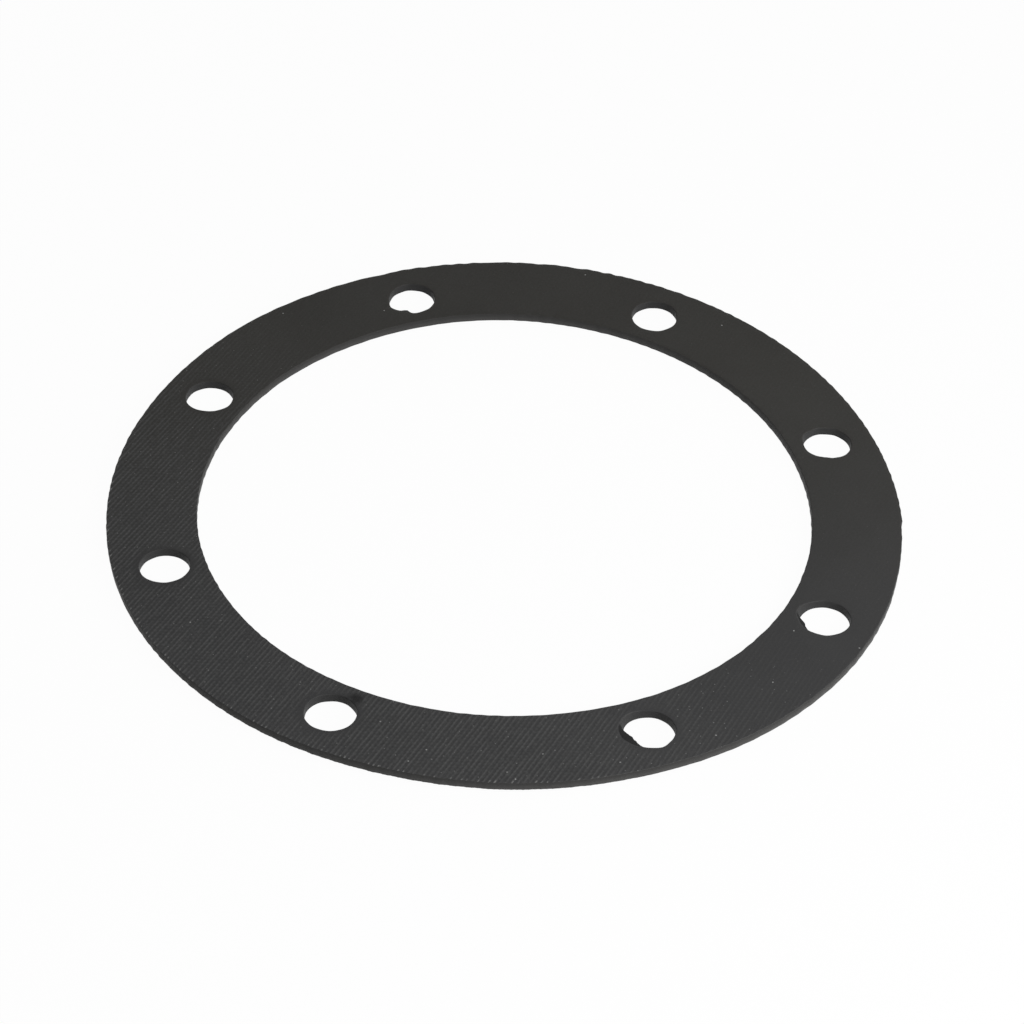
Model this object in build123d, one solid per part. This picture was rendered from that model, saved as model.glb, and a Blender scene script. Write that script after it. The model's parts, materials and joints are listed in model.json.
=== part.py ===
from build123d import *
import os

# A flat ring gasket for the bolted cover of a hydraulic tank, cut in one piece from rubber sheet.
# Millimetres and degrees. The origin is the ring's centre on its underside, +Z is the ring's axis,
# and the X and Y axes pass midway between two bolt holes.

# Bolting of the cover
pitch_circle_diameter = 158.0
bolt_hole_count = 8
bolt_diameter = 10.0
bolt_clearance = 1.5

# The keyed hole stands this far round from its even place, so the cover fits in one position only
keyed_hole_turn = 5.0

# Rubber left between a bolt hole and the bore, and between a bolt hole and the rim
inner_land = 3.25
outer_land = 5.25

sheet_thickness = 2.0

# Sizes that follow from them
bolt_hole_radius = (bolt_diameter + bolt_clearance) / 2
pitch_circle_radius = pitch_circle_diameter / 2
bore_radius = pitch_circle_radius - bolt_hole_radius - inner_land
rim_radius = pitch_circle_radius + bolt_hole_radius + outer_land


def bolt_hole_angles():
    """Angles of the bolt holes from +X, counter-clockwise seen from above."""
    even_step = 360 / bolt_hole_count
    angles = [even_step * (place + 0.5) for place in range(bolt_hole_count)]
    # The keyed hole is the second one clockwise from +X
    angles[-2] += keyed_hole_turn
    return angles


def gasket_outline():
    """The plan of the gasket: a ring with its bolt holes."""
    bolt_holes = [
        Rot(0, 0, angle) * Pos(pitch_circle_radius, 0) * Circle(bolt_hole_radius)
        for angle in bolt_hole_angles()
    ]
    return Circle(rim_radius) - Circle(bore_radius) - bolt_holes


def gasket():
    """The sheet, cut square through its thickness along the outline."""
    return extrude(gasket_outline(), amount=sheet_thickness)


os.makedirs("parts", exist_ok=True)
export_step(gasket(), "parts/gasket.step")
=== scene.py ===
import json
import math

import bmesh
import bpy
import numpy as np
from mathutils import Matrix, Vector


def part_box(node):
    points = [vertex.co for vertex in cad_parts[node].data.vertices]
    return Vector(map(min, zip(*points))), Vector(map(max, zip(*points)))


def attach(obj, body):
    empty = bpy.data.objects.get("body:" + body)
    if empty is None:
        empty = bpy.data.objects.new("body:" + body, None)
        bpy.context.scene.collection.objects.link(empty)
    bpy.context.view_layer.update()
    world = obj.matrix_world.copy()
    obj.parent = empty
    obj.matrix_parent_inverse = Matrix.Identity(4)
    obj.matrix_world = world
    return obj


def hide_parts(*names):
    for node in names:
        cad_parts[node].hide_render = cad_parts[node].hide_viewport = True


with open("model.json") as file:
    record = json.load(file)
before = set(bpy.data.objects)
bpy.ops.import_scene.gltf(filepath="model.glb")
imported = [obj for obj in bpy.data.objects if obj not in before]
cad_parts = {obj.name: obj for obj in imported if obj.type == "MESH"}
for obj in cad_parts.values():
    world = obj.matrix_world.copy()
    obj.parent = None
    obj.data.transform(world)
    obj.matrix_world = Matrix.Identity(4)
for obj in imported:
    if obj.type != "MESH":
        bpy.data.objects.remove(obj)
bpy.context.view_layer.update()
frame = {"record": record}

# The looks of a flat rubber gasket: black sheet with a cloth impression, cut to a ring with bolt holes.
# Metres and degrees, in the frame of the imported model.

MM = 0.001

# The cloth impression: fine ridges that the cloth's warp left, straight across the whole sheet,
# and the much fainter trace of its weft across them
RIDGE_PITCH = 1.048 * MM
RIDGE_ANGLE = 67.5
GROOVE_DEPTH = 0.068 * MM
WEFT_DEPTH = 0.01 * MM
SAMPLES_PER_RIDGE = 6
STEP_ALONG_RIDGE = 1.9 * MM
BLANK_MARGIN = 2 * MM

# The depth of the grooves varies by this share, in waves of this length, differently on the two faces
GROOVE_VARIES_BY = 0.2
GROOVE_WAVE = 9 * MM
TOP_SEED = 11
UNDER_SEED = 23

# It is full towards this direction and nearly gone on the ring's other side
FULL_TOWARDS = 231
FULL_FROM = 0.75
FADED_FROM = -0.25
FADED_SHARE = 0.04

# The punch pressed the impression flat this far round each bolt hole
PRESSED_RIM = 2.2 * MM

# The cut edges. A knife cut the rim and the bore, and a punch the bolt holes, which it left narrower below
RIM_ROUNDING = 0.22 * MM
BORE_ROUNDING = 0.2 * MM
HOLE_ROUNDING = 0.25 * MM
LOWER_ROUNDING = 0.04 * MM
ROUNDING_STEPS = 3
HOLE_TAPER = 0.05 * MM
RING_SEGMENTS = 1080
HOLE_SEGMENTS = 96
CUT_MARGIN = 0.02 * MM
CUTTER_BEYOND = 1 * MM
POINTS_JOINED_WITHIN = 0.002 * MM

# The soft rubber spreads this far past each cut
SPREAD = 0.17 * MM

# How far the knife wandered, slowly and in teeth, which are rougher on the rim's far side.
# It ended a little outside where it began.
KNIFE_WANDER = 0.12 * MM
KNIFE_WAVE = 60 * MM
RIM_SEED = 3
BORE_SEED = 5
KNIFE_ROUGHNESS = 0.07 * MM
FAR_RIM_ROUGHNESS = 0.2 * MM
FAR_RIM_FROM = 0.7
KNIFE_TEETH = 2.5 * MM
TEETH_SEED = 9
KNIFE_MET_AT = 3.0
KNIFE_MISSED_BY = 0.25 * MM
KNIFE_CAME_BACK_IN = 8

# How far the punch wandered, and how far to the right it stood at one of the holes
PUNCH_WANDER = 0.06 * MM
PUNCH_WAVE = 4 * MM
PUNCH_SEED = 31
PUNCH_STOOD_OFF_AT = 112.5
PUNCH_STOOD_OFF_BY = 0.55 * MM

# Torn places of bolt holes: the hole's direction from the ring's centre, the torn place's direction from
# the hole's centre and half its width, how far out the tear reaches at the top, and how far in its ledge
TORN_PLACES = (
    (297.5, 170, 90, 0.8 * MM, 0.0),
    (297.5, 216, 58, 0.9 * MM, 2.4 * MM),
    (297.5, 303, 25, 0.35 * MM, 0.0),
    (337.5, 158, 45, 0.8 * MM, 0.0),
    (337.5, 200, 42, 0.4 * MM, 1.1 * MM),
    (22.5, 158, 30, 0.5 * MM, 0.0),
    (22.5, 268, 60, -0.5 * MM, 0.1 * MM),
    (67.5, 5, 25, -0.3 * MM, 0.1 * MM),
    (112.5, 217, 30, 0.5 * MM, 0.0),
    (112.5, 259, 26, 0.0, 1.3 * MM),
    (157.5, 270, 60, -0.3 * MM, 0.05 * MM),
)
LEDGE_DEPTH = 0.4 * MM
TEAR_ROUGHNESS = 0.12
TEAR_SEED = 37
LARGEST_TEAR = max(outward for _, _, _, outward, _ in TORN_PLACES)

# The ring's slight set: its two ends along this direction stand up from the surface
CURL_ANGLE = 88.3
CURL_LIFT = 2.28 * MM

# Colours of the rubber, with a warm tint of light painted on its far side, of its cut faces, painted paler
# towards the bottom as painted light, of the painted shade in its bolt holes and on its torn ledges, of the
# painted highlights on its ridges, and of dust, which also paints glints on ridge ends
DARK_RUBBER = (0.028, 0.028, 0.0286, 1)
PALE_RUBBER = (0.038, 0.038, 0.0386, 1)
DARK_WARM_LIT_RUBBER = (0.0285, 0.0275, 0.0248, 1)
PALE_WARM_LIT_RUBBER = (0.0385, 0.0375, 0.0345, 1)
UPPER_CUT_RUBBER = (0.031, 0.0305, 0.0295, 1)
LOWER_CUT_RUBBER = (0.062, 0.061, 0.0595, 1)
SHADED_HOLE_WALL_RUBBER = (0.03, 0.03, 0.03, 1)
PAINTED_SHADE_BLACK = (0.008, 0.008, 0.008, 1)
RIDGE_HIGHLIGHT = (0.071, 0.071, 0.0705, 1)
DUST_AND_GLINT = (0.3, 0.3, 0.295, 1)

# The sheet's tone is painted paler towards this direction, as painted light where more light fell, and is
# mottled besides.
# It is painted browner over this distance on either side of the ring's middle, as a painted warm light on
# the far side.
LIT_TOWARDS = 300
PAINTED_LIGHT_SHARE = 0.6
MOTTLE_SIZE = 30 * MM
WARM_LIGHT_WITHIN = 60 * MM

# How much the matt rubber shines, and the smallest angle between faces that reads as an edge
SHINE = 0.15
EDGE_ANGLE = 40

# The larger specks of dust lie at random, and more often where the impression holds them
SPECK_COUNT = 17
SPECK_SEED = 41
SPECKS_OFF_IMPRESSION = 0.35
SPECK_RADIUS = 0.24 * MM
SPECK_CORE = 0.1 * MM

# The fine dusting has at most one grain to each cell of this size
DUST_SPACING = 2.5 * MM

# Painted shade: a dark spot beside one bolt hole, next to the shaded part of its wall
SHADE_SPOT = (-25.5 * MM, -68.2 * MM, 2.0 * MM)
SHADE_SPOT_REACH = 2.6 * MM

# The camera, fitted to the photograph's circles
LENS = 104.28
SENSOR = 36.0
VIEW_AZIMUTH = 3.749
VIEW_ELEVATION = 40.757
VIEW_ROLL = 1.98
VIEW_DISTANCE = 676.83 * MM
VIEW_RIGHT = 1.599 * MM
VIEW_UP = -0.362 * MM

# The white surroundings: the floor's size and own colour, its share that is plain white to the eye,
# and the light that the room adds
FLOOR_SIZE = 6.0
FLOOR_COLOUR = (0.8, 0.8, 0.8, 1)
FLOOR_WHITENED = 0.97
ROOM_LIGHT = 0.17

# Soft square lamps: name, azimuth, elevation, distance, size and power
LAMPS = (
    ("key_lamp", 320, 25, 0.5, 0.25, 2.06),
    ("top_lamp", 276, 55, 0.4, 0.25, 0.23),
    ("side_lamp", 14, 18, 0.9, 0.35, 2.46),
)


def mount(name):
    """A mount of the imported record, by its name."""
    return next(m for m in frame["record"]["mounts"] if m["name"] == name)


def direction(angle):
    """The unit vector in the ring's plane at this angle from +X."""
    return np.array([math.cos(math.radians(angle)), math.sin(math.radians(angle))])


low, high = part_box("gasket")
RIM_RADIUS = high.x
THICKNESS = high.z
BORE_RADIUS = mount("port_opening")["dims"]["r_mm"] * MM
HOLE_RADIUS = mount("keyed_bolt_hole")["dims"]["r_mm"] * MM


def bolt_hole_centres():
    """Centres of all the bolt holes: the even ones have an opening's box each, the keyed one is a mount."""
    boxes = [np.array(opening["box_m"]) for opening in frame["record"]["physics"]["openings"]]
    even = [box.mean(axis=0)[:2] for box in boxes]
    return even + [np.array(mount("keyed_bolt_hole")["pos_m"][:2])]


def slow_waves(x, y, length, seed):
    """A smooth field from -1 to 1 whose waves are about this long."""
    rng = np.random.default_rng(seed)
    total = np.zeros(np.broadcast(x, y).shape)
    count = 7
    for _ in range(count):
        angle = rng.uniform(0, 2 * math.pi)
        wave = 2 * math.pi / (length * rng.uniform(0.7, 1.5))
        phase = rng.uniform(0, 2 * math.pi)
        total += np.sin(wave * (x * math.cos(angle) + y * math.sin(angle)) + phase)
    return np.clip(total / math.sqrt(2 * count), -1, 1)


def new_object(name, vertices, faces):
    """An object in the scene with a mesh of these vertices and faces."""
    mesh = bpy.data.meshes.new(name)
    mesh.from_pydata(vertices, [], faces)
    mesh.update()
    made = bpy.data.objects.new(name, mesh)
    bpy.context.scene.collection.objects.link(made)
    return made


def mesh_points(mesh):
    """The places of a mesh's vertices as an array."""
    points = np.zeros(len(mesh.vertices) * 3, np.float32)
    mesh.vertices.foreach_get("co", points)
    return points.reshape(-1, 3)


def eased(value, start, end):
    """0 up to the start, 1 from the end on, and a smooth rise between them."""
    share = np.clip((value - start) / (end - start), 0, 1)
    return share * share * (3 - 2 * share)


def impression(x, y):
    """How much of the cloth impression is left: it fades over the ring and round each bolt hole."""
    towards = (x * direction(FULL_TOWARDS)[0] + y * direction(FULL_TOWARDS)[1]) / RIM_RADIUS
    left = FADED_SHARE + (1 - FADED_SHARE) * eased(towards, FADED_FROM, FULL_FROM)
    for centre in bolt_hole_centres():
        beyond = np.hypot(x - centre[0], y - centre[1]) - HOLE_RADIUS
        left = left * eased(beyond, 0, PRESSED_RIM)
    return left


def groove(x, y, seed):
    """How far the face lies below its ridges: a round yarn's groove between each two sharp ridges."""
    across_way = direction(RIDGE_ANGLE - 90)
    number = (x * across_way[0] + y * across_way[1]) / RIDGE_PITCH
    yarn = 1 - (1 - np.abs(number - np.round(number)) * 2) ** 2
    strength = 1 - GROOVE_VARIES_BY + GROOVE_VARIES_BY * slow_waves(x, y, GROOVE_WAVE, seed)
    return GROOVE_DEPTH * yarn * strength * impression(x, y)


def sheet_blank():
    """A square of the rubber sheet, turned so that its ridges lie as on the gasket."""
    reach = RIM_RADIUS + BLANK_MARGIN
    step_across = RIDGE_PITCH / SAMPLES_PER_RIDGE
    lines = math.ceil(reach / step_across)
    rows = math.ceil(reach / STEP_ALONG_RIDGE)
    across, along = np.meshgrid(
        np.arange(-lines, lines + 1) * step_across,
        np.arange(-rows, rows + 1) * STEP_ALONG_RIDGE,
        indexing="ij",
    )
    ridge = direction(RIDGE_ANGLE)
    square = direction(RIDGE_ANGLE - 90)
    x = across * square[0] + along * ridge[0]
    y = across * square[1] + along * ridge[1]
    top = np.stack([x, y, THICKNESS - groove(x, y, TOP_SEED)], axis=-1)
    bottom = np.stack([x, y, groove(x, y, UNDER_SEED)], axis=-1)
    width, length = x.shape
    index = np.arange(width * length).reshape(width, length)
    quads = np.stack([index[:-1, :-1], index[1:, :-1], index[1:, 1:], index[:-1, 1:]], axis=-1)
    quads = quads.reshape(-1, 4)
    under_quads = quads[:, ::-1] + width * length
    border = np.concatenate([index[:, 0], index[-1, 1:], index[-2::-1, -1], index[0, -2:0:-1]])
    after = np.roll(border, -1)
    sides = np.stack([border, border + width * length, after + width * length, after], axis=-1)
    vertices = np.concatenate([top.reshape(-1, 3), bottom.reshape(-1, 3)])
    faces = np.concatenate([quads, under_quads, sides])
    return new_object("sheet_blank", vertices.tolist(), faces.tolist())


def turned(name, profile, centre, segments, capped=False):
    """A solid turned about an upright axis from a profile of radius and height.

    The profile is closed on itself, or with caps its two ends are closed by flat discs.
    """
    count = len(profile)
    around = np.arange(segments) * 2 * math.pi / segments
    radius, height = np.array(profile).T
    x = centre[0] + np.cos(around)[:, None] * radius
    y = centre[1] + np.sin(around)[:, None] * radius
    z = np.broadcast_to(height, x.shape)
    faces = []
    for k in range(segments):
        here = k * count
        there = (k + 1) % segments * count
        for i in range(count - 1 if capped else count):
            j = (i + 1) % count
            faces.append((here + i, there + i, there + j, here + j))
    if capped:
        starts = [k * count for k in range(segments)]
        faces.append(tuple(reversed(starts)))
        faces.append(tuple(k + count - 1 for k in starts))
    return new_object(name, np.stack([x, y, z], axis=-1).reshape(-1, 3).tolist(), faces)


def corner(radius, height, rounding, start, turn=90):
    """Points of radius and height on the round of an edge, about the round's centre."""
    ways = [direction(start + turn * step / ROUNDING_STEPS) for step in range(ROUNDING_STEPS + 1)]
    return [(radius + rounding * way[0], height + rounding * way[1]) for way in ways]


def ring_profile():
    """Section of the ring with its four edges rounded, a little thicker than the sheet."""
    lower, upper = -CUT_MARGIN, THICKNESS + CUT_MARGIN
    rim, bore = RIM_RADIUS + SPREAD, BORE_RADIUS - SPREAD
    return (
        corner(rim - LOWER_ROUNDING, lower + LOWER_ROUNDING, LOWER_ROUNDING, 270)
        + corner(rim - RIM_ROUNDING, upper - RIM_ROUNDING, RIM_ROUNDING, 0)
        + corner(bore + BORE_ROUNDING, upper - BORE_ROUNDING, BORE_ROUNDING, 90)
        + corner(bore + LOWER_ROUNDING, lower + LOWER_ROUNDING, LOWER_ROUNDING, 180)
    )


def move_points(made, x, y, z):
    """Gives an object's mesh new places of its vertices."""
    points = np.stack([x, y, z], axis=-1).astype(np.float32)
    made.data.vertices.foreach_set("co", points.ravel())


def ring():
    """The ring before its holes, with the small wander that the knife left in its rim and bore."""
    made = turned("gasket_sheet", ring_profile(), (0, 0), RING_SEGMENTS)
    x, y, z = mesh_points(made.data).astype(float).T
    radius = np.hypot(x, y)
    angle = np.degrees(np.arctan2(y, x))
    missed = KNIFE_MISSED_BY * np.exp(-((angle - KNIFE_MET_AT) % 360) / KNIFE_CAME_BACK_IN)
    on_rim = radius > (RIM_RADIUS + BORE_RADIUS) / 2
    slow = [KNIFE_WANDER * slow_waves(x, y, KNIFE_WAVE, seed) for seed in (RIM_SEED, BORE_SEED)]
    wander = np.where(on_rim, slow[0] + missed, slow[1])
    far = on_rim * eased(y, FAR_RIM_FROM * RIM_RADIUS, RIM_RADIUS)
    roughness = KNIFE_ROUGHNESS + (FAR_RIM_ROUGHNESS - KNIFE_ROUGHNESS) * far
    wander += roughness * slow_waves(x, y, KNIFE_TEETH, TEETH_SEED)
    move_points(made, x * (1 + wander / radius), y * (1 + wander / radius), z)
    return made


def hole_angle(centre):
    """The direction of a bolt hole from the ring's centre."""
    return math.degrees(math.atan2(centre[1], centre[0])) % 360


def tears(centre, x, y):
    """The torn places of one bolt hole: how strong each is at these points, and its reach out and in."""
    around = np.degrees(np.arctan2(y - centre[1], x - centre[0]))
    hole = hole_angle(centre)
    for torn_hole, towards, half_width, outward, inward in TORN_PLACES:
        if abs(torn_hole - hole) < 1:
            off = (around - towards + 180) % 360 - 180
            yield np.cos(np.clip(off / half_width, -1, 1) * math.pi / 2) ** 2, outward, inward


def hole_cutter(centre):
    """The punch of one bolt hole, flared at both faces so that the hole's edges come out rounded.

    Where the punch tore the rubber, a ledge is left in the hole a little below the upper face.
    """
    lower, upper = -CUT_MARGIN, THICKNESS + CUT_MARGIN
    lower_radius, upper_radius = HOLE_RADIUS - SPREAD - HOLE_TAPER, HOLE_RADIUS - SPREAD
    ledge = THICKNESS - LEDGE_DEPTH
    profile = [(lower_radius + LOWER_ROUNDING, lower - CUTTER_BEYOND)]
    profile += corner(lower_radius + LOWER_ROUNDING, lower + LOWER_ROUNDING, LOWER_ROUNDING, 270, -90)
    profile += [(upper_radius, ledge)]
    profile += corner(upper_radius + HOLE_ROUNDING, upper - HOLE_ROUNDING, HOLE_ROUNDING, 180, -90)
    profile += [(upper_radius + HOLE_ROUNDING, upper + CUTTER_BEYOND)]
    made = turned("hole_cutter", profile, centre, HOLE_SEGMENTS, capped=True)
    x, y, z = mesh_points(made.data).astype(float).T
    change = PUNCH_WANDER * slow_waves(x, y, PUNCH_WAVE, PUNCH_SEED)
    rough = 1 + TEAR_ROUGHNESS * slow_waves(x, y, PUNCH_WAVE / 3, TEAR_SEED)
    for share, outward, inward in tears(centre, x, y):
        widened = np.interp(z, [0, THICKNESS], [0, outward])
        narrowed = np.interp(z, [0, ledge, THICKNESS], [inward / 2, inward, 0])
        change += share * rough * (widened - narrowed)
    grown = 1 + change / np.hypot(x - centre[0], y - centre[1])
    stood_off = PUNCH_STOOD_OFF_BY if abs(hole_angle(centre) - PUNCH_STOOD_OFF_AT) < 1 else 0
    x = centre[0] + (x - centre[0]) * grown + stood_off
    move_points(made, x, centre[1] + (y - centre[1]) * grown, z)
    return made


def cut(solid, tool, operation):
    """Cuts a solid with another one, which is used up."""
    modifier = solid.modifiers.new("cut", "BOOLEAN")
    modifier.object = tool
    modifier.operation = operation
    modifier.solver = "MANIFOLD"
    evaluated = solid.evaluated_get(bpy.context.evaluated_depsgraph_get())
    result = bpy.data.meshes.new_from_object(evaluated)
    solid.modifiers.clear()
    solid.data = result
    bpy.data.objects.remove(tool)


def smooth_out(mesh):
    """Joins points that cutting left all but in one place, and takes out those that lie along one edge.

    Either kind would make stray faces.
    """
    form = bmesh.new()
    form.from_mesh(mesh)
    bmesh.ops.remove_doubles(form, verts=form.verts, dist=POINTS_JOINED_WITHIN)
    bmesh.ops.dissolve_verts(form, verts=[point for point in form.verts if len(point.link_edges) == 2])
    form.to_mesh(mesh)
    form.free()


def mark(mesh):
    """Writes where the sheet has its impression, and which faces are cut, punched or torn.

    A face counts as torn where a tear left a ledge, between the sheet's two faces.
    """
    x, y, _ = mesh_points(mesh).astype(float).T
    layer = mesh.attributes.new("impression", "FLOAT", "POINT")
    layer.data.foreach_set("value", impression(x, y).astype(np.float32))
    count = len(mesh.polygons)
    normals, middles = np.zeros(count * 3, np.float32), np.zeros(count * 3, np.float32)
    mesh.polygons.foreach_get("normal", normals)
    mesh.polygons.foreach_get("center", middles)
    x, y, z = middles.reshape(-1, 3).astype(float).T
    upright = np.abs(normals.reshape(-1, 3)[:, 2].astype(float))
    on_cut = 1 - eased(upright, 0.3, 0.95)
    punched, torn = np.zeros(count), np.zeros(count)
    for centre in bolt_hole_centres():
        beyond = np.hypot(x - centre[0], y - centre[1]) - HOLE_RADIUS
        punched = np.maximum(punched, beyond < HOLE_ROUNDING + PUNCH_WANDER)
        for share, _, inward in tears(centre, x, y):
            within = (z > 2 * GROOVE_DEPTH) & (z < THICKNESS - 2 * GROOVE_DEPTH)
            in_tear = (beyond < LARGEST_TEAR) & within
            depth = np.clip(inward / LEDGE_DEPTH, 0, 1)
            torn = np.maximum(torn, in_tear * depth * eased(share, 0.02, 0.25))
    for name, values in (("cut", on_cut), ("punched", punched), ("torn", torn)):
        layer = mesh.attributes.new(name, "FLOAT", "FACE")
        layer.data.foreach_set("value", values.astype(np.float32))


def curl(mesh):
    """Bends the flat ring to a wide arc, so that it touches the surface along one line."""
    points = mesh_points(mesh)
    reach = (points[:, :2] @ direction(CURL_ANGLE)) / RIM_RADIUS
    points[:, 2] += CURL_LIFT * reach**2
    mesh.vertices.foreach_set("co", points.ravel())
    mesh.update()


def node(tree, kind, inputs, **settings):
    """Adds a shader node. Its inputs are given as values or as the outputs that feed them."""
    made = tree.nodes.new("ShaderNode" + kind)
    for name, value in settings.items():
        setattr(made, name, value)
    for name, value in inputs.items():
        if isinstance(value, bpy.types.NodeSocket):
            tree.links.new(value, made.inputs[name])
        else:
            made.inputs[name].default_value = value
    return made


def maths(tree, operation, first, second=0.0):
    """The output of a Math node."""
    return node(tree, "Math", {0: first, 1: second}, operation=operation).outputs[0]


def ranged(tree, value, start, end, to_start=0.0, to_end=1.0):
    """A value brought smoothly from one range to another and kept within it."""
    inputs = {"Value": value, "From Min": start, "From Max": end, "To Min": to_start, "To Max": to_end}
    return node(tree, "MapRange", inputs, interpolation_type="SMOOTHSTEP").outputs["Result"]


def blended(tree, share, first, second):
    """A colour between two others."""
    made = node(tree, "Mix", {"Factor": share}, data_type="RGBA")
    for name, value in (("A", first), ("B", second)):
        socket = next(s for s in made.inputs if s.name == name and s.type == "RGBA")
        if isinstance(value, bpy.types.NodeSocket):
            tree.links.new(value, socket)
        else:
            socket.default_value = value
    return next(s for s in made.outputs if s.type == "RGBA")


def patches(tree, place, sizes, detail=2.0):
    """Soft random patches of these sizes along the three axes of a place, from 0 to 1."""
    scaled = node(tree, "VectorMath", {0: place, 1: [1 / size for size in sizes]}, operation="MULTIPLY")
    inputs = {"Vector": scaled.outputs[0], "Scale": 1.0, "Detail": detail}
    return node(tree, "TexNoise", inputs).outputs[0]


def flat_place(tree):
    """The place on the sheet as it lay before it curled."""
    place = node(tree, "TexCoord", {}).outputs["Object"]
    towards = direction(CURL_ANGLE) / RIM_RADIUS
    reach = node(tree, "VectorMath", {0: place, 1: (*towards, 0)}, operation="DOT_PRODUCT").outputs["Value"]
    lift = maths(tree, "MULTIPLY", maths(tree, "MULTIPLY", reach, reach), CURL_LIFT)
    lifted = node(tree, "CombineXYZ", {"Z": lift}).outputs[0]
    return node(tree, "VectorMath", {0: place, 1: lifted}, operation="SUBTRACT").outputs[0]


def cloth_marks(tree, colour, ridge_place, marked, rim_near):
    """Adds the painted highlights on the ridges, the painted highlight flecks between them, and painted
    glints on the ends of ridges at the rim.
    """
    across = node(tree, "SeparateXYZ", {0: ridge_place}).outputs[1]
    off_ridge = maths(tree, "PINGPONG", maths(tree, "MULTIPLY", across, 1 / RIDGE_PITCH), 0.5)
    crest = ranged(tree, off_ridge, 0.35, 0.0)
    streaks = patches(tree, ridge_place, (4 * MM, 0.9 * MM, 0.9 * MM), 2.0)
    # Painted highlight: the ridge crests are painted paler in streaks, where light caught them
    crest_highlight = maths(tree, "MULTIPLY", crest, ranged(tree, streaks, 0.3, 0.65, 0.25))
    colour = blended(tree, maths(tree, "MULTIPLY", crest_highlight, marked), colour, RIDGE_HIGHLIGHT)
    # Painted highlight: paler flecks along the ridges, as small glints of light
    flecks = patches(tree, ridge_place, (1.1 * MM, 0.5 * MM, 0.5 * MM), 1.0)
    highlight_fleck_share = maths(tree, "MULTIPLY", ranged(tree, flecks, 0.45, 0.8, 0.0, 0.5), marked)
    colour = blended(tree, highlight_fleck_share, colour, RIDGE_HIGHLIGHT)
    # Painted glints: the ridge ends at the rim are painted pale in patches, where light caught them
    glint_patches = patches(tree, ridge_place, (2 * MM, 0.8 * MM, 0.8 * MM), 1.0)
    glinting = ranged(tree, glint_patches, 0.45, 0.65, 0.0, 0.6)
    ends = maths(tree, "MULTIPLY", ranged(tree, off_ridge, 0.25, 0.0), glinting)
    ends = maths(tree, "MULTIPLY", maths(tree, "MULTIPLY", ends, rim_near), ranged(tree, marked, 0.8, 1.0))
    return blended(tree, ends, colour, DUST_AND_GLINT)


def speck_places():
    """Places of the larger specks on the flat upper face."""
    rng = np.random.default_rng(SPECK_SEED)
    places = []
    while len(places) < SPECK_COUNT:
        x, y = rng.uniform(BORE_RADIUS, RIM_RADIUS) * direction(rng.uniform(0, 360))
        if rng.uniform() < SPECKS_OFF_IMPRESSION + impression(x, y):
            places.append((x, y, THICKNESS))
    return places


def dust(tree, colour, place, marked):
    """Adds the larger specks at their places, and a fine random dusting that clings to the impression."""
    nearest = None
    for spot in speck_places():
        away = node(tree, "VectorMath", {0: place, 1: spot}, operation="DISTANCE").outputs["Value"]
        nearest = away if nearest is None else maths(tree, "MINIMUM", nearest, away)
    colour = blended(tree, ranged(tree, nearest, SPECK_RADIUS, SPECK_CORE), colour, DUST_AND_GLINT)
    spread = 1 / DUST_SPACING
    flat = node(tree, "VectorMath", {0: place, 1: (spread, spread, 0)}, operation="MULTIPLY")
    cells = node(tree, "TexVoronoi", {"Vector": flat.outputs[0], "Scale": 1.0}, voronoi_dimensions="2D")
    near_speck = ranged(tree, cells.outputs["Distance"], 0.07, 0.02)
    drawn = node(tree, "SeparateXYZ", {0: cells.outputs["Color"]}).outputs[0]
    chosen = ranged(tree, drawn, 0.45, 1.0, 0.0, 0.6)
    clinging = ranged(tree, marked, 0.0, 0.4, 0.1, 1.0)
    share = maths(tree, "MULTIPLY", maths(tree, "MULTIPLY", near_speck, chosen), clinging)
    return blended(tree, share, colour, DUST_AND_GLINT)


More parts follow.
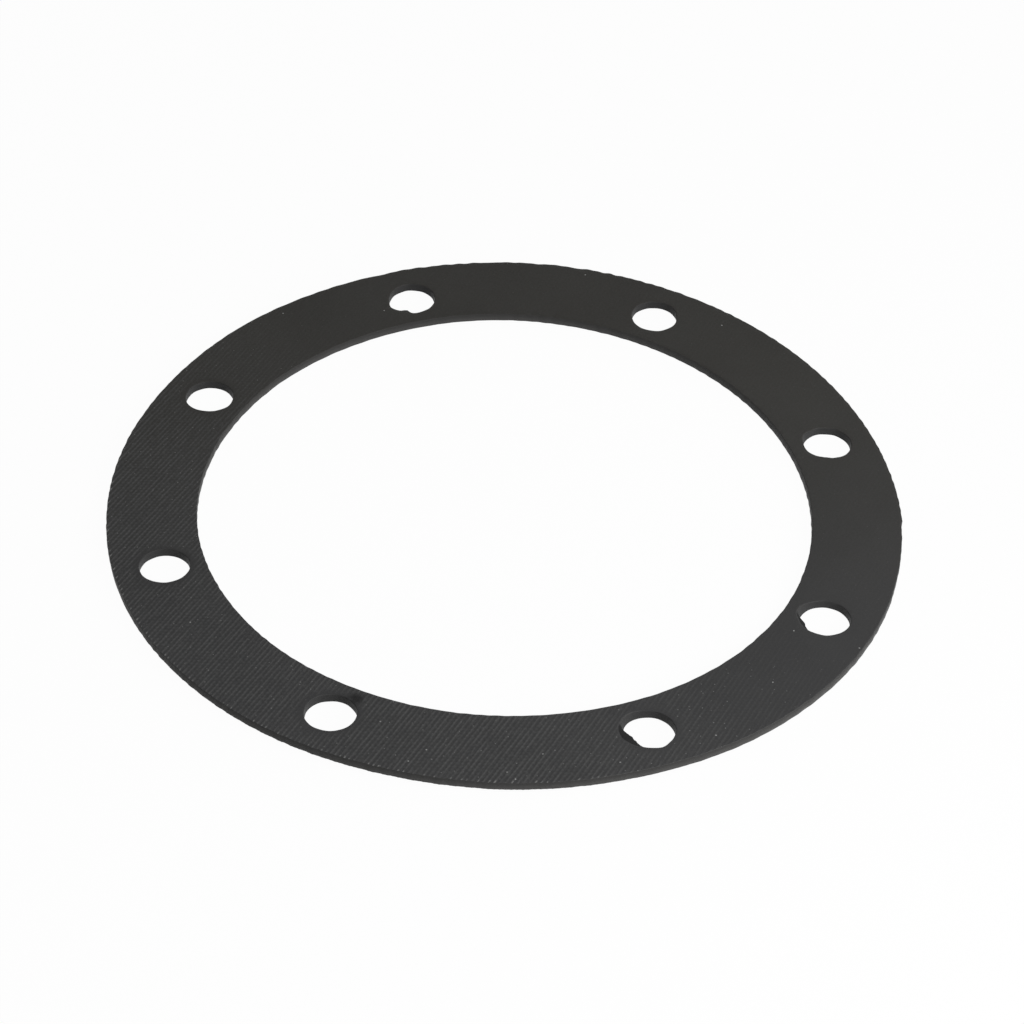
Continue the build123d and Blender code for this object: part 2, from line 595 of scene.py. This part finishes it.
def rubber():
    """Black sheet rubber with the painted ridge highlights, weft trace, mottled tone, painted light and
    shade, and dust of its faces, and its cut edges.
    """
    material = bpy.data.materials.new("rubber")
    material.use_nodes = True
    tree = material.node_tree
    shader = tree.nodes["Principled BSDF"]
    shader.inputs["Specular IOR Level"].default_value = SHINE

    place = flat_place(tree)
    spin = {"Vector": place, "Angle": -math.radians(RIDGE_ANGLE)}
    ridge_place = node(tree, "VectorRotate", spin, rotation_type="Z_AXIS").outputs[0]
    along, across, _ = node(tree, "SeparateXYZ", {0: ridge_place}).outputs
    names = ("impression", "cut", "punched", "torn")
    marks = [node(tree, "Attribute", {}, attribute_name=name).outputs["Fac"] for name in names]
    marked, on_cut, punched, torn = marks
    flat = node(tree, "VectorMath", {0: place, 1: (1, 1, 0)}, operation="MULTIPLY").outputs[0]
    radius = node(tree, "VectorMath", {0: flat}, operation="LENGTH").outputs["Value"]
    rim_near = ranged(tree, radius, RIM_RADIUS - 0.5 * MM, RIM_RADIUS - 0.2 * MM)

    # Painted light: the tone is painted paler towards the front, where more light fell, and random mottles
    # are added to it
    towards = (*direction(LIT_TOWARDS), 0)
    out = node(tree, "VectorMath", {0: place, 1: towards}, operation="DOT_PRODUCT").outputs["Value"]
    painted_light = ranged(tree, out, -RIM_RADIUS, RIM_RADIUS, 0, PAINTED_LIGHT_SHARE)
    mottles = patches(tree, place, [MOTTLE_SIZE] * 3, 4.0)
    mottling_and_painted_light = maths(tree, "ADD", painted_light, ranged(tree, mottles, 0.35, 0.65, 0, 1 - PAINTED_LIGHT_SHARE))
    black = blended(tree, mottling_and_painted_light, DARK_RUBBER, PALE_RUBBER)
    # Painted light: towards the far side the rubber is painted browner, standing in for a warmer light
    # there
    warm_lit = blended(tree, mottling_and_painted_light, DARK_WARM_LIT_RUBBER, PALE_WARM_LIT_RUBBER)
    _, towards_far, height = node(tree, "SeparateXYZ", {0: place}).outputs
    colour = blended(tree, ranged(tree, towards_far, -WARM_LIGHT_WITHIN, WARM_LIGHT_WITHIN), black, warm_lit)
    colour = cloth_marks(tree, colour, ridge_place, marked, rim_near)
    colour = dust(tree, colour, place, marked)
    # Painted shade: a dark spot in blotches beside one bolt hole
    away = node(tree, "VectorMath", {0: place, 1: SHADE_SPOT}, operation="DISTANCE").outputs["Value"]
    blotches = patches(tree, place, (1.5 * MM, 1.5 * MM, 1.5 * MM), 3.0)
    near_shade_spot = ranged(tree, away, SHADE_SPOT_REACH, 0.2 * SHADE_SPOT_REACH)
    shade_spot_share = maths(tree, "MULTIPLY", near_shade_spot, ranged(tree, blotches, 0.25, 0.5))
    colour = blended(tree, shade_spot_share, colour, PAINTED_SHADE_BLACK)

    knife_lines = ranged(tree, patches(tree, place, (5 * MM, 5 * MM, 0.25 * MM), 2.0), 0.3, 0.7, 0.75, 1.0)
    # Painted light: the cut faces are painted paler towards the bottom, where more light reaches them
    cut_colour = blended(tree, ranged(tree, height, THICKNESS, 0), UPPER_CUT_RUBBER, LOWER_CUT_RUBBER)
    cut_colour = blended(tree, knife_lines, DARK_RUBBER, cut_colour)
    # Painted shade: the walls of the bolt holes are painted darker, as shade falls inside the holes
    cut_colour = blended(tree, punched, cut_colour, SHADED_HOLE_WALL_RUBBER)
    colour = blended(tree, on_cut, colour, cut_colour)
    # Painted shade: the torn ledges in the bolt holes are painted near black, as deep shade
    colour = blended(tree, torn, colour, PAINTED_SHADE_BLACK)
    tree.links.new(colour, shader.inputs["Base Color"])

    grain = patches(tree, place, (0.35 * MM, 0.35 * MM, 0.35 * MM), 3.0)
    tree.links.new(ranged(tree, grain, 0.3, 0.7, 0.52, 0.68), shader.inputs["Roughness"])

    turn = 2 * math.pi / RIDGE_PITCH
    weft = maths(tree, "SINE", maths(tree, "MULTIPLY", along, turn))
    over_and_under = maths(tree, "COSINE", maths(tree, "MULTIPLY", across, turn / 2))
    weave = maths(tree, "MULTIPLY", maths(tree, "MULTIPLY", weft, over_and_under), marked)
    relief = maths(tree, "ADD", weave, grain)
    bump = node(tree, "Bump", {"Strength": 1.0, "Distance": WEFT_DEPTH, "Height": relief})
    tree.links.new(bump.outputs["Normal"], shader.inputs["Normal"])
    return material


def gasket():
    """The gasket: the ring with its holes, cut from the ridged sheet, then marked and curled."""
    sheet = ring()
    for centre in bolt_hole_centres():
        cut(sheet, hole_cutter(centre), "DIFFERENCE")
    cut(sheet, sheet_blank(), "INTERSECT")
    smooth_out(sheet.data)
    mark(sheet.data)
    curl(sheet.data)
    sheet.data.shade_smooth()
    sheet.data.set_sharp_from_angle(angle=math.radians(EDGE_ANGLE))
    sheet.data.materials.clear()
    sheet.data.materials.append(rubber())
    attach(sheet, "root")
    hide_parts("gasket")


def white_to_the_eye(tree, strength_elsewhere, strength_seen):
    """A strength for the eye, reflections and glass, and another one for the light that falls elsewhere."""
    path = node(tree, "LightPath", {})
    seen = maths(tree, "MAXIMUM", path.outputs["Is Camera Ray"], path.outputs["Is Transmission Ray"])
    seen = maths(tree, "MAXIMUM", seen, path.outputs["Is Glossy Ray"])
    inputs = {"Value": seen, "To Min": strength_elsewhere, "To Max": strength_seen}
    return node(tree, "MapRange", inputs).outputs["Result"]


def surroundings():
    """A white room with a floor that is white to the eye and keeps the gasket's faint shadow."""
    world = bpy.data.worlds.new("studio")
    bpy.context.scene.world = world
    world.use_nodes = True
    background = world.node_tree.nodes["Background"]
    background.inputs["Color"].default_value = (1, 1, 1, 1)
    strength = white_to_the_eye(world.node_tree, ROOM_LIGHT, 1)
    world.node_tree.links.new(strength, background.inputs["Strength"])

    half = FLOOR_SIZE / 2
    corners = [(-half, -half, 0), (half, -half, 0), (half, half, 0), (-half, half, 0)]
    floor = new_object("floor", corners, [(0, 1, 2, 3)])
    paper = bpy.data.materials.new("white_paper")
    paper.use_nodes = True
    tree = paper.node_tree
    tree.nodes.remove(tree.nodes["Principled BSDF"])
    matt = node(tree, "BsdfDiffuse", {"Color": FLOOR_COLOUR})
    glow = node(tree, "Emission", {"Color": (1, 1, 1, 1), "Strength": 1.0})
    share = white_to_the_eye(tree, 0, FLOOR_WHITENED)
    mixed = node(tree, "MixShader", {0: share, 1: matt.outputs[0], 2: glow.outputs[0]})
    tree.links.new(mixed.outputs[0], tree.nodes["Material Output"].inputs["Surface"])
    floor.data.materials.append(paper)


def soft_lamp(name, azimuth, elevation, distance, size, power):
    """A square studio lamp that faces the gasket, placed by its direction from the ring's centre."""
    lamp = bpy.data.lights.new(name, "AREA")
    lamp.size = size
    lamp.energy = power
    made = bpy.data.objects.new(name, lamp)
    flat = direction(azimuth) * math.cos(math.radians(elevation))
    towards = Vector((flat[0], flat[1], math.sin(math.radians(elevation))))
    made.location = towards * distance
    made.rotation_euler = towards.to_track_quat("Z", "Y").to_euler()
    bpy.context.scene.collection.objects.link(made)


def camera():
    """The camera at the photograph's view, aimed near the ring's centre."""
    turn = math.radians(VIEW_AZIMUTH)
    tilt = math.radians(VIEW_ELEVATION)
    roll = math.radians(VIEW_ROLL)
    right = Vector((math.cos(turn), math.sin(turn), 0))
    level = Vector((-math.sin(turn), math.cos(turn), 0))
    ahead = level * math.cos(tilt) - Vector((0, 0, 1)) * math.sin(tilt)
    up = right.cross(ahead)
    place = right * VIEW_RIGHT + up * VIEW_UP - ahead * VIEW_DISTANCE
    side = right * math.cos(roll) + up * math.sin(roll)
    crown = up * math.cos(roll) - right * math.sin(roll)
    axes = Matrix((side, crown, -ahead)).transposed().to_4x4()
    data = bpy.data.cameras.new("camera")
    data.lens = LENS
    data.sensor_width = SENSOR
    data.clip_start = 0.01
    data.clip_end = 50
    made = bpy.data.objects.new("camera", data)
    made.matrix_world = Matrix.Translation(place) @ axes
    bpy.context.scene.collection.objects.link(made)
    bpy.context.scene.camera = made


gasket()
surroundings()
for lamp in LAMPS:
    soft_lamp(*lamp)
camera()
bpy.context.scene.view_settings.view_transform = "Standard"
